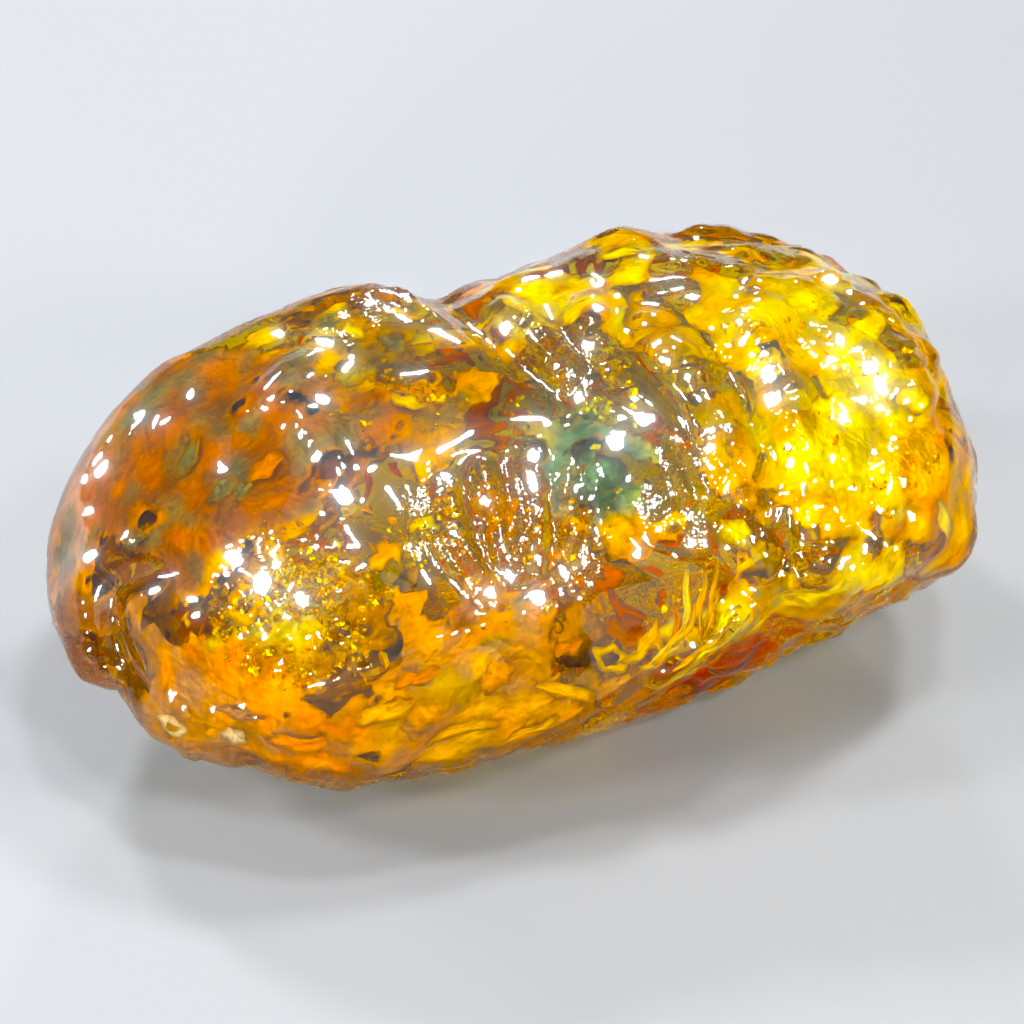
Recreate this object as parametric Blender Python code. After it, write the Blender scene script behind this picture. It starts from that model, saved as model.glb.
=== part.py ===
"""A rough nugget of clear amber, one solid piece of fossil resin.

The nugget is a lumpy pebble with a broad lobe at one end and a narrower lobe at the other.
Hand-rubbed faces, flow ridges, a torn pocket, a grainy hollow and small cobbles are carved
into one body. It rests on a small flat spot.

Frame: +X runs along the nugget to its narrower end, -Y is the front, and +Z is up. The
origin lies on the resting spot's plane, under the middle of the nugget.
"""

import math
import random
from dataclasses import dataclass

import bmesh
import bpy
import numpy as np
from mathutils import Vector, noise

MM = 0.001

# Driving dimensions, in millimetres
LENGTH = 42.7
BLUNTNESS = 2.6  # 2 would make the ends round
REST_CUT = 0.5
TRIANGLES = 9400

# Half-widths of the body at even stations from the broad end to the narrow end
FRONT = (10.4, 14.2, 12.4, 12.2, 13.8, 13.6)
BACK = (9.6, 13.6, 12.8, 13.2, 14.7, 15.6)
TOP = (8.6, 9.8, 9.2, 9.0, 9.8, 11.6)
BOTTOM = (9.6, 9.3, 8.9, 9.0, 8.9, 9.2)
# The line through the middle of those half-widths
MIDDLE_ACROSS = (0.8, 0.4, 0.0, 0.4, 0.9, 0.7)
MIDDLE_HEIGHT = (-0.4, 0.0, 0.0, 0.2, 0.4, 0.2)

# How finely the body is worked, and the draw of its small spots
SPHERE_LEVEL = 7
SEAM_STEPS = 60
VERY_END = 0.9999
SEED = 7


@dataclass(frozen=True)
class Face:
    """A broad rubbed face: what stands past a plane is pressed back towards it."""

    turn: float  # degrees round from +X, seen from above
    tilt: float  # degrees above the horizon
    distance: float
    softness: float
    share: float = 0.8


@dataclass(frozen=True)
class Spot:
    """A round lump, or a hollow where the height is negative."""

    along: float
    round: float  # degrees round the girth: 0 front, 90 top, 180 back
    radius: float
    height: float


@dataclass(frozen=True)
class Seam:
    """A ridge along a smooth path of (along, round) places, or a furrow where the height is negative."""

    path: tuple
    width: float
    height: float


@dataclass(frozen=True)
class Pocket:
    """A sunken patch with straight walls."""

    along: float
    round: float
    half_length: float
    half_width: float
    spin: float  # degrees from the nugget's length
    depth: float
    wall: float


@dataclass(frozen=True)
class Scatter:
    """Small spots strewn over a stretch of the nugget, each value drawn between two limits."""

    count: int
    along: tuple
    round: tuple
    radius: tuple
    height: tuple


@dataclass(frozen=True)
class Swell:
    """A gentle unevenness all over: how far apart its humps are and how high they stand."""

    size: float
    height: float


FACES = (
    # The smooth window at the upper left, and the band below it at the front
    Face(180, 62, 12.9, 0.5),
    Face(-94, 31, 11.3, 0.5),
    # The undercut at the front, right of the middle, which leaves a sharp edge above it
    Face(-75, -26, 10.5, 0.25, 0.9),
    # The top of the narrower lobe, and its blunt end
    Face(55, 68, 12.2, 0.8),
    Face(-8, 12, 20.2, 0.6),
    # The back
    Face(104, 14, 11.6, 0.6),
    Face(66, 8, 15.4, 0.5),
    Face(128, -28, 13.6, 0.5),
    # The underside round the resting spot
    Face(205, -48, 14.6, 0.6),
    Face(-25, -52, 13.4, 0.6),
    Face(75, -50, 11.6, 0.5),
)

SPOTS = (
    # The knob at the broad end and the small looped lump under it
    Spot(-20.2, 28, 3.0, 0.7),
    Spot(-20.0, -18, 1.3, 0.6),
    Spot(-16.8, 33, 1.9, 0.5),
    Spot(-17.2, -10, 3.0, 1.1),
    Spot(-20.6, 80, 2.2, -0.7),
    Spot(-15.5, 128, 3.4, 0.6),
    # The skyline: a peak, the notch between the lobes, and the lumps beyond it
    Spot(-5.0, 128, 3.4, 0.9),
    Spot(-9.5, 122, 2.6, 0.3),
    Spot(-1.6, 128, 2.0, -1.1),
    Spot(1.2, 122, 1.8, 0.5),
    Spot(6.4, 121, 2.8, 0.5),
    Spot(9.6, 125, 1.6, -0.3),
    # The notch at the front, between the sharp edge and the narrower lobe
    Spot(8.9, -2, 2.0, -0.8),
    Spot(12.6, 2, 2.4, 0.7),
    Spot(16.6, 4, 2.0, 0.3),
    # The clear lens above the torn pocket, and a bead and a smooth boss on the narrower lobe
    Spot(2.6, 61, 2.8, 0.4),
    Spot(16.6, 60, 1.2, 0.6),
    Spot(14.4, 26, 2.4, 0.4),
    # A flaky cluster on the top of the broad lobe
    Spot(-5.8, 84, 1.6, 0.4),
    # The back's lumps and dents
    Spot(-12.5, 165, 3.2, 0.6),
    Spot(-4.0, 178, 2.6, -0.6),
    Spot(3.5, 160, 2.6, 0.5),
    Spot(9.0, 195, 2.8, -0.7),
    Spot(15.0, 170, 2.6, 0.5),
    Spot(-9.0, 215, 3.0, -0.5),
)

SEAMS = (
    # The groove that sets off the knob at the broad end
    Seam(((-15.6, 52), (-18.4, 46), (-19.2, 30), (-18.8, 12), (-17.4, 0)), 0.75, -0.8),
    # Low curved ridges on the window
    Seam(((-7.9, 109), (-8.8, 98), (-11.6, 91), (-13.6, 84)), 0.8, 0.5),
    Seam(((-11.6, 91), (-9.8, 78), (-9.2, 66), (-9.4, 58)), 0.7, 0.45),
    Seam(((-15.8, 100), (-14.2, 88), (-14.0, 76)), 0.7, 0.35),
    # The valley between the lobes and the flow ridges beyond it
    Seam(((-2.2, 122), (-1.2, 106), (-0.4, 92), (0.8, 78), (1.0, 68)), 0.9, -0.75),
    Seam(((0.2, 112), (1.2, 94), (1.8, 80), (3.4, 66)), 0.8, 0.55),
    Seam(((3.9, 108), (3.3, 88), (4.2, 70), (5.2, 56)), 0.75, 0.55),
    Seam(((2.2, 112), (2.2, 92), (2.8, 76)), 0.7, -0.4),
    Seam(((5.4, 92), (6.6, 72), (7.2, 56), (7.4, 42)), 0.9, 0.7),
    Seam(((9.6, 90), (10.4, 68), (10.4, 52), (10.2, 38)), 1.0, 0.8),
    # The furrow that runs down from the top into the notch at the front
    Seam(((8.0, 96), (8.6, 72), (8.8, 52), (8.8, 30), (8.9, 10), (8.7, -8)), 0.9, -0.9),
    Seam(((5.6, 44), (6.2, 32), (6.8, 20), (7.0, 8)), 0.7, -0.45),
    # The crack behind the bead on the narrower lobe
    Seam(((17.4, 74), (18.3, 62), (17.8, 50), (16.4, 42)), 0.6, -0.6),
    # The grainy hollow's lower lip
    Seam(((-15.6, 22), (-12.2, 19), (-8.8, 23), (-3.8, 28), (-0.4, 27)), 0.8, 0.4),
    # The crumbly rim along the bottom of the front and the sharp edge that goes on from it
    Seam(((-18.4, -6), (-14.2, -16), (-8.5, -17), (-3.6, -14)), 0.8, 0.4),
    Seam(((-4.6, -15), (-1.0, -11), (2.2, -1), (5.0, 6), (7.4, 14)), 0.9, 0.8),
    # Ripples on the torn pocket's floor
    Seam(((-5.4, 66), (-5.0, 50), (-4.0, 33)), 0.7, 0.35),
    Seam(((-3.2, 65), (-2.9, 49), (-2.3, 32)), 0.75, 0.45),
    Seam(((-0.9, 63), (-0.8, 48), (-0.5, 32)), 0.75, 0.4),
    # Folds on the back
    Seam(((-1.4, 128), (-1.8, 150), (-0.6, 172), (0.8, 196), (1.6, 216)), 1.0, -0.7),
    Seam(((-16.0, 150), (-11.0, 192), (-5.0, 206)), 0.9, 0.5),
    Seam(((6.0, 140), (8.4, 165), (12.0, 186), (15.4, 196)), 0.9, 0.5),
    Seam(((11.0, 140), (13.0, 152), (16.4, 160)), 0.8, -0.5),
)

POCKETS = (
    # The torn pocket at the front
    Pocket(-2.2, 48, 3.9, 3.6, 12, 0.6, 0.25),
    # The grainy hollow left of it, and a small facet between the two
    Pocket(-11.6, 41, 3.4, 2.8, 18, 0.5, 0.4),
    Pocket(-7.6, 47, 1.4, 2.6, 24, 0.3, 0.3),
    # A shallow chip on the back
    Pocket(-8.0, 150, 2.8, 1.8, 30, 0.45, 0.25),
)

SWELLS = (Swell(7.0, 0.45), Swell(3.0, 0.2))

# Small cobbles all over the narrower lobe, and shallow chips over the back and the underside
COBBLES = Scatter(150, (6.5, 18.6), (-35, 215), (0.8, 1.4), (0.3, 0.6))
CHIPS = Scatter(70, (-19.0, 19.0), (125, 330), (1.0, 2.2), (-0.45, -0.2))


def through(values, s):
    """A smooth curve through values at even stations from -1 to 1, read at s."""
    knots = np.array((values[0], *values, values[-1]))
    place = (np.asarray(s) + 1) / 2 * (len(values) - 1)
    first = np.clip(place.astype(int), 0, len(values) - 2)
    t = place - first
    a, b, c, d = (knots[first + k] for k in range(4))
    return b + 0.5 * t * (c - a + t * (2 * a - 5 * b + 4 * c - d + t * (3 * (b - c) + d - a)))


def on_body(directions):
    """Points of the plain body for directions from its middle, one row each."""
    s, across, up = directions.T
    end = np.minimum(np.abs(s), VERY_END)
    fuller = np.sqrt((1 - end**BLUNTNESS) / (1 - end**2))
    across, up = across * fuller, up * fuller
    y = through(MIDDLE_ACROSS, s) + across * np.where(across < 0, through(FRONT, s), through(BACK, s))
    z = through(MIDDLE_HEIGHT, s) + up * np.where(up < 0, through(BOTTOM, s), through(TOP, s))
    return np.stack((s * LENGTH / 2, y, z), axis=1)


def pressed_body(directions):
    """Points of the body with its broad faces pressed, one row for each direction."""
    points = on_body(directions)
    for face in FACES:
        points = flattened(points, face)
    return points


def places_of(along, round_degrees):
    """Points of the pressed body at distances along it and angles round its girth, one row each."""
    s = np.atleast_1d(along) / (LENGTH / 2)
    ring = np.sqrt(1 - s * s)
    angle = np.radians(np.atleast_1d(round_degrees))
    return pressed_body(np.stack((s, -ring * np.cos(angle), ring * np.sin(angle)), axis=1))


def normals_of(mesh, points):
    """The vertex normals of the mesh once its vertices are at points."""
    mesh.vertices.foreach_set("co", points.astype(np.float32).ravel())
    mesh.update()
    normals = np.empty(len(mesh.vertices) * 3, np.float32)
    mesh.vertex_normals.foreach_get("vector", normals)
    return normals.reshape(-1, 3).astype(float)


def flattened(points, face):
    """The points with what stands past the face pressed back."""
    turn, tilt = math.radians(face.turn), math.radians(face.tilt)
    out = np.array((math.cos(turn) * math.cos(tilt), math.sin(turn) * math.cos(tilt), math.sin(tilt)))
    past = (points @ out - face.distance) / face.softness
    excess = face.softness * np.logaddexp(0, past)
    return points - np.outer(excess * face.share, out)


def spot_height(points, spot):
    """How far the spot lifts each point along its normal."""
    apart = np.linalg.norm(points - places_of(spot.along, spot.round), axis=1)
    return spot.height * np.exp(-((apart / spot.radius) ** 2))


def seam_height(points, seam):
    """How far the seam lifts each point. It fades out towards both of its ends."""
    along, turned = zip(*seam.path)
    s = np.linspace(-VERY_END, VERY_END, SEAM_STEPS)
    nearest = np.full(len(points), np.inf)
    reached = np.zeros(len(points))
    for place, step in zip(places_of(through(along, s), through(turned, s)), s):
        apart = np.linalg.norm(points - place, axis=1)
        closer = apart < nearest
        nearest[closer] = apart[closer]
        reached[closer] = step
    fade = np.sqrt(np.cos(0.5 * np.pi * reached))
    return seam.height * fade * np.exp(-((nearest / seam.width) ** 2))


def pocket_height(points, normals, pocket):
    """How far the pocket lifts each point, which is never more than nothing."""
    centre = places_of(pocket.along, pocket.round)[0]
    out = normals[np.argmin(np.linalg.norm(points - centre, axis=1))]
    lengthways = np.cross(np.cross(out, (1, 0, 0)), out)
    lengthways /= np.linalg.norm(lengthways)
    sideways = np.cross(out, lengthways)
    spin = math.radians(pocket.spin)
    u = (points - centre) @ (math.cos(spin) * lengthways + math.sin(spin) * sideways)
    v = (points - centre) @ (math.cos(spin) * sideways - math.sin(spin) * lengthways)
    inside = np.minimum(pocket.half_length - np.abs(u), pocket.half_width - np.abs(v))
    mask = 1 / (1 + np.exp(-inside / pocket.wall))
    mask *= normals @ out > 0
    return -mask * pocket.depth


def swell_height(points, swell):
    """How far the swell lifts each point."""
    return swell.height * np.array([noise.noise(Vector(point / swell.size)) for point in points])


def strewn(scatter):
    """The spots of a scatter."""
    rng = random.Random(SEED)
    limits = (scatter.along, scatter.round, scatter.radius, scatter.height)
    return [Spot(*(rng.uniform(*pair) for pair in limits)) for _ in range(scatter.count)]


def shaped():
    """The nugget's mesh in millimetres, with the body's middle at the origin."""
    ball = bmesh.new()
    bmesh.ops.create_icosphere(ball, subdivisions=SPHERE_LEVEL, radius=1.0)
    mesh = bpy.data.meshes.new("amber_nugget")
    ball.to_mesh(mesh)
    ball.free()
    directions = np.empty(len(mesh.vertices) * 3, np.float32)
    mesh.vertices.foreach_get("co", directions)
    points = pressed_body(directions.reshape(-1, 3).astype(float))
    normals = normals_of(mesh, points)
    heights = [spot_height(points, spot) for spot in SPOTS]
    heights.append(np.max([spot_height(points, cobble) for cobble in strewn(COBBLES)], axis=0))
    heights.append(np.min([spot_height(points, chip) for chip in strewn(CHIPS)], axis=0))
    heights += [seam_height(points, seam) for seam in SEAMS]
    heights += [pocket_height(points, normals, pocket) for pocket in POCKETS]
    heights += [swell_height(points, swell) for swell in SWELLS]
    normals_of(mesh, points + normals * sum(heights)[:, None])
    return mesh


def thinned(mesh, triangles):
    """A copy of the mesh with about that many triangles, kept where the surface turns."""
    carrier = bpy.data.objects.new("thinning", mesh)
    bpy.context.collection.objects.link(carrier)
    decimate = carrier.modifiers.new("Decimate", "DECIMATE")
    decimate.ratio = triangles / len(mesh.polygons)
    graph = bpy.context.evaluated_depsgraph_get()
    kept = bpy.data.meshes.new_from_object(carrier.evaluated_get(graph))
    bpy.data.objects.remove(carrier)
    return kept


def seated(mesh):
    """Cuts the resting spot flat, moves the origin under the middle and turns millimetres to metres."""
    cut = bmesh.new()
    cut.from_mesh(mesh)
    floor = min(vertex.co.z for vertex in cut.verts) + REST_CUT
    everything = cut.verts[:] + cut.edges[:] + cut.faces[:]
    made = bmesh.ops.bisect_plane(
        cut, geom=everything, dist=1e-5, plane_co=(0, 0, floor), plane_no=(0, 0, -1), clear_outer=True
    )
    rim = [item for item in made["geom_cut"] if isinstance(item, bmesh.types.BMEdge)]
    bmesh.ops.triangle_fill(cut, edges=rim, use_beauty=True)
    bmesh.ops.recalc_face_normals(cut, faces=cut.faces)
    corners = np.array([vertex.co for vertex in cut.verts])
    middle = (corners.min(axis=0) + corners.max(axis=0)) / 2
    bmesh.ops.translate(cut, verts=cut.verts, vec=(-middle[0], -middle[1], -floor))
    bmesh.ops.scale(cut, verts=cut.verts, vec=(MM, MM, MM))
    cut.to_mesh(mesh)
    cut.free()


def amber():
    """The resin's material."""
    material = bpy.data.materials.new("clear_amber")
    material.use_nodes = True
    surface = material.node_tree.nodes["Principled BSDF"]
    surface.inputs["Base Color"].default_value = (0.86, 0.42, 0.05, 1)
    surface.inputs["Roughness"].default_value = 0.08
    surface.inputs["Metallic"].default_value = 0.0
    surface.inputs["IOR"].default_value = 1.54
    surface.inputs["Transmission Weight"].default_value = 0.6
    return material


def main():
    """Clears the scene and makes the nugget."""
    for old in list(bpy.data.objects):
        bpy.data.objects.remove(old)
    mesh = thinned(shaped(), TRIANGLES)
    seated(mesh)
    mesh.name = "amber_nugget"
    mesh.shade_smooth()
    mesh.materials.append(amber())
    nugget = bpy.data.objects.new("amber_nugget", mesh)
    bpy.context.collection.objects.link(nugget)


main()
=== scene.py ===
"""The looks of a rough nugget of clear amber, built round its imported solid.

The nugget is one see-through piece: a fine skin of glassy resin with flow ridges, a torn pocket,
a grainy hollow and a cobbled narrower lobe. Films and flakes of resin and gold flecks lie inside
it. Lengths are in millimetres until a mesh is handed over, which is in metres.
"""

import logging
import math
import random
from dataclasses import dataclass, field
from enum import Enum
from typing import Any, Sequence

import bmesh
import bpy
import numpy as np
from mathutils import Matrix, Vector
from mathutils.bvhtree import BVHTree


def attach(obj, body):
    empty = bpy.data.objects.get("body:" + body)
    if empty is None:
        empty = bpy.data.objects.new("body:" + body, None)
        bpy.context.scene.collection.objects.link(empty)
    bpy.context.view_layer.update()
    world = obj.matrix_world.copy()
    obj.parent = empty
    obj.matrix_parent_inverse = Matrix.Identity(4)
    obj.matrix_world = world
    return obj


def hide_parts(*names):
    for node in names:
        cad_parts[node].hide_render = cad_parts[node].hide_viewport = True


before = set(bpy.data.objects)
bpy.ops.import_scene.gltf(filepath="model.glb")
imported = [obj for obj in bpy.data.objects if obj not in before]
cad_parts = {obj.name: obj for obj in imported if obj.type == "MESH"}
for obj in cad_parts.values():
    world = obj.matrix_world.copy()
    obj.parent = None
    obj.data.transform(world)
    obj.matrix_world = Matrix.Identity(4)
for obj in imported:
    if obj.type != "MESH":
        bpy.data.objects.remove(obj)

LOG = logging.getLogger("amber")
MM = 0.001
IMAGE_SIDE = 1024
Colour = tuple[float, float, float]
Pixel = tuple[float, float]
Path = tuple[Pixel, ...]
# A pixel of the photograph and a radius in millimetres
Spot = tuple[float, float, float]
# A relief pattern's size and height, in millimetres
Texture = tuple[float, float]

LEMON = (1.0, 0.80, 0.14)
GOLD = (1.0, 0.56, 0.04)
HONEY = (0.72, 0.32, 0.05)
ORANGE = (0.92, 0.34, 0.06)
RUST = (0.34, 0.13, 0.04)
UMBER = (0.13, 0.065, 0.015)
MOSS = (0.15, 0.13, 0.05)
TEAL = (0.20, 0.26, 0.18)
CREAM = (0.95, 0.75, 0.45)
BLOOD = (0.88, 0.20, 0.01)
# The front band's film tone: orange-brown resin colour, with a bluish pallor that is a painted milky
# reflection
HAZE_AND_PAINTED_REFLECTION = (0.54, 0.26, 0.11)
# The window's film tone: pinkish brown resin colour, paled as a painted milky reflection
MILK_AND_PAINTED_REFLECTION = (0.38, 0.155, 0.07)
LIME = (0.72, 0.76, 0.06)

WARM_LIGHT = (1.0, 0.98, 0.95)
COOL_LIGHT = (0.88, 0.93, 1.0)


class Part(Enum):
    """The masks painted on the nugget's skin."""

    DULL = "dull"
    GRIT = "grit"
    BROWN = "brown"
    RED = "red"
    GREEN = "green"
    TEAL = "teal"


class Number:
    """A socket that carries a number, with arithmetic that adds Math nodes."""

    def __init__(self, graph: "Graph", socket: bpy.types.NodeSocket) -> None:
        """Wraps a node's output socket."""
        self.graph = graph
        self.socket = socket

    def __mul__(self, other: Any) -> "Number":
        """The product."""
        node = self.graph.node("ShaderNodeMath", {"operation": "MULTIPLY"}, {0: self, 1: other})
        return Number(self.graph, node.outputs[0])

    __rmul__ = __mul__


class Graph:
    """A material's node tree."""

    def __init__(self, name: str) -> None:
        """Makes an empty node material.

        Args:
            name: Its name.
        """
        self.material = bpy.data.materials.new(name)
        self.material.use_nodes = True
        self.tree = self.material.node_tree
        self.tree.nodes.clear()

    def node(
        self, kind: str, settings: dict[str, Any] | None = None, values: dict[Any, Any] | None = None
    ) -> bpy.types.Node:
        """Adds a node.

        Args:
            kind: The node's type.
            settings: Its properties, set first.
            values: A number, colour, socket or Number for each socket, by name or by place.

        Returns:
            The node.
        """
        made = self.tree.nodes.new(kind)
        for key, value in (settings or {}).items():
            setattr(made, key, value)
        for key, value in (values or {}).items():
            socket = made.inputs[key]
            if isinstance(value, Number):
                self.tree.links.new(value.socket, socket)
            elif isinstance(value, bpy.types.NodeSocket):
                self.tree.links.new(value, socket)
            elif isinstance(value, tuple) and len(value) == 3 and socket.type == "RGBA":
                socket.default_value = (*value, 1.0)
            else:
                socket.default_value = value
        return made

    def noise(self, size: float) -> Number:
        """Noise from about 0 to 1.

        Args:
            size: The size of its clouds, in millimetres.

        Returns:
            The noise.
        """
        own = self.node("ShaderNodeTexCoord").outputs["Object"]
        scaling = {0: own, "Scale": 1 / (size * MM)}
        scaled = self.node("ShaderNodeVectorMath", {"operation": "SCALE"}, scaling).outputs[0]
        node = self.node("ShaderNodeTexNoise", {}, {"Vector": scaled, "Scale": 1.0, "Detail": 1.0})
        return Number(self, node.outputs["Fac"])

    def painted(self, name: str) -> Number:
        """A mask kept on the mesh's points."""
        return Number(self, self.node("ShaderNodeAttribute", {"attribute_name": name}).outputs["Fac"])

    def coloured(self, name: str) -> bpy.types.NodeSocket:
        """A colour kept on the mesh's points."""
        return self.node("ShaderNodeAttribute", {"attribute_name": name}).outputs["Color"]

    def blend(self, factor: Any, low: Any, high: Any) -> bpy.types.NodeSocket:
        """A colour between low, where the factor is 0, and high, where it is 1."""
        values = {0: factor, 6: low, 7: high}
        return self.node("ShaderNodeMix", {"data_type": "RGBA"}, values).outputs[2]

    def bump(self, height: Number, depth: float) -> bpy.types.NodeSocket:
        """A normal roughened by a height from 0 to 1 that stands for a depth in millimetres."""
        values = {"Height": height, "Distance": depth * MM, "Strength": 1.0}
        return self.node("ShaderNodeBump", {}, values).outputs[0]

    def finish(self, surface: bpy.types.Node, volume: bpy.types.Node | None = None) -> bpy.types.Material:
        """Sends the shaders to the output.

        Args:
            surface: The surface's shader.
            volume: The inside's shader, if it has one.

        Returns:
            The material.
        """
        values = {"Surface": surface.outputs[0]}
        if volume:
            values["Volume"] = volume.outputs[0]
        self.node("ShaderNodeOutputMaterial", {}, values)
        return self.material


@dataclass(frozen=True)
class AmberFinish:
    """Clear golden resin with a wet gloss, duller where it is torn, grainy or weathered."""

    clear: Colour = (1.0, 0.97, 0.86)
    stains: tuple[tuple[Part, Colour], ...] = (
        (Part.BROWN, (0.90, 0.74, 0.58)),
        (Part.RED, (0.93, 0.40, 0.10)),
        (Part.GREEN, (0.64, 0.68, 0.48)),
        (Part.TEAL, (0.50, 0.70, 0.58)),
    )
    absorbed: Colour = (0.99, 0.87, 0.0)
    density: float = 190.0
    index: float = 1.54
    grit: Texture = (0.2, 0.12)

    def material(self) -> bpy.types.Material:
        """Makes the finish's material.

        Returns:
            The material.
        """
        graph = Graph("clear_amber")
        size, depth = self.grit
        grit = graph.noise(size) * graph.painted(Part.GRIT.value)
        tint: Any = self.clear
        for part, colour in self.stains:
            tint = graph.blend(graph.painted(part.value), tint, colour)
        values = {
            "Base Color": tint,
            "Roughness": graph.painted(Part.DULL.value),
            "IOR": self.index,
            "Transmission Weight": 1.0,
            "Normal": graph.bump(grit, depth),
        }
        surface = graph.node("ShaderNodeBsdfPrincipled", {}, values)
        dye = {"Color": self.absorbed, "Density": self.density}
        return graph.finish(surface, graph.node("ShaderNodeVolumeAbsorption", {}, dye))


@dataclass(frozen=True)
class FlakeFinish:
    """Crinkled films of resin inside the nugget, each in its own tone, that gleam in places."""

    roughness: float = 0.32
    gleam: float = 0.35
    specular: float = 0.2
    crinkle: Texture = (0.4, 0.16)

    def material(self) -> bpy.types.Material:
        """Makes the finish's material.

        Returns:
            The material.
        """
        graph = Graph("inner_films")
        size, depth = self.crinkle
        values = {
            "Base Color": graph.coloured("tone"),
            "Roughness": self.roughness,
            "Metallic": self.gleam,
            "Specular IOR Level": self.specular,
            "Normal": graph.bump(graph.noise(size), depth),
        }
        return graph.finish(graph.node("ShaderNodeBsdfPrincipled", {}, values))


@dataclass(frozen=True)
class EvenFinish:
    """A finish that is the same all over."""

    name: str
    colour: Colour
    roughness: float
    metallic: float = 0.0

    def material(self) -> bpy.types.Material:
        """Makes the finish's material.

        Returns:
            The material.
        """
        graph = Graph(self.name)
        values = {"Base Color": self.colour, "Roughness": self.roughness, "Metallic": self.metallic}
        return graph.finish(graph.node("ShaderNodeBsdfPrincipled", {}, values))


GOLD_FLECKS = EvenFinish("gold_flecks", (1.0, 0.70, 0.12), 0.24, 0.9)
PALE_FLOOR = EvenFinish("pale_floor", (0.106, 0.1045, 0.103), 0.7)


def direction(azimuth: float, elevation: float) -> Vector:
    """The way to a place that is seen at an azimuth and an elevation, in degrees."""
    turn, rise = math.radians(azimuth), math.radians(elevation)
    return Vector((math.sin(turn) * math.cos(rise), -math.cos(turn) * math.cos(rise), math.sin(rise)))


def shown(name: str, data: bpy.types.ID) -> bpy.types.Object:
    """Adds an object to the scene.

    Args:
        name: Its name.
        data: Its data.

    Returns:
        The object.
    """
    made = bpy.data.objects.new(name, data)
    bpy.context.scene.collection.objects.link(made)
    return made


@dataclass(frozen=True)
class View:
    """The photograph's view: where the camera stands and which way a pixel looks."""

    azimuth: float = -14.5
    elevation: float = 40.0
    distance: float = 153.6
    target: tuple[float, float, float] = (-0.1, 0.0, 8.2)
    lens: float = 120.0
    sensor: float = 36.0

    def away(self) -> Vector:
        """The direction from the target back to the camera."""
        return direction(self.azimuth, self.elevation)

    def eye(self) -> Vector:
        """Where the camera stands, in millimetres."""
        return Vector(self.target) + self.away() * self.distance

    def towards(self, pixel: Pixel) -> Vector:
        """The direction in which the camera sees a pixel of the photograph.

        Args:
            pixel: The pixel.

        Returns:
            The direction.
        """
        away = self.away()
        right = Vector((0, 0, 1)).cross(away).normalized()
        up = away.cross(right)
        across, down = ((k - IMAGE_SIDE / 2) / IMAGE_SIDE * self.sensor / self.lens for k in pixel)
        return (right * across - up * down - away).normalized()

    def build(self) -> None:
        """Makes the camera."""
        data = bpy.data.cameras.new("camera")
        data.lens = self.lens
        data.sensor_width = self.sensor
        data.clip_start = 0.01
        camera = shown("camera", data)
        camera.location = self.eye() * MM
        camera.rotation_euler = self.away().to_track_quat("Z", "Y").to_euler()
        bpy.context.scene.camera = camera


@dataclass(frozen=True)
class Lamp:
    """A round soft light that shines at the nugget."""

    name: str
    azimuth: float
    elevation: float
    watts: float = 1.0
    side: float = 50.0
    distance: float = 330.0
    colour: Colour = COOL_LIGHT
    aim: float = 8.0

    def place(self) -> Vector:
        """Where the light is, in millimetres."""
        return direction(self.azimuth, self.elevation) * self.distance + Vector((0, 0, self.aim))

    def build(self) -> None:
        """Makes the light."""
        data = bpy.data.lights.new(self.name, "AREA")
        data.shape = "DISK"
        data.size = self.side * MM
        data.energy = self.watts
        data.color = self.colour
        light = shown(self.name, data)
        light.location = self.place() * MM
        light.rotation_euler = self.place().to_track_quat("Z", "Y").to_euler()


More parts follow.
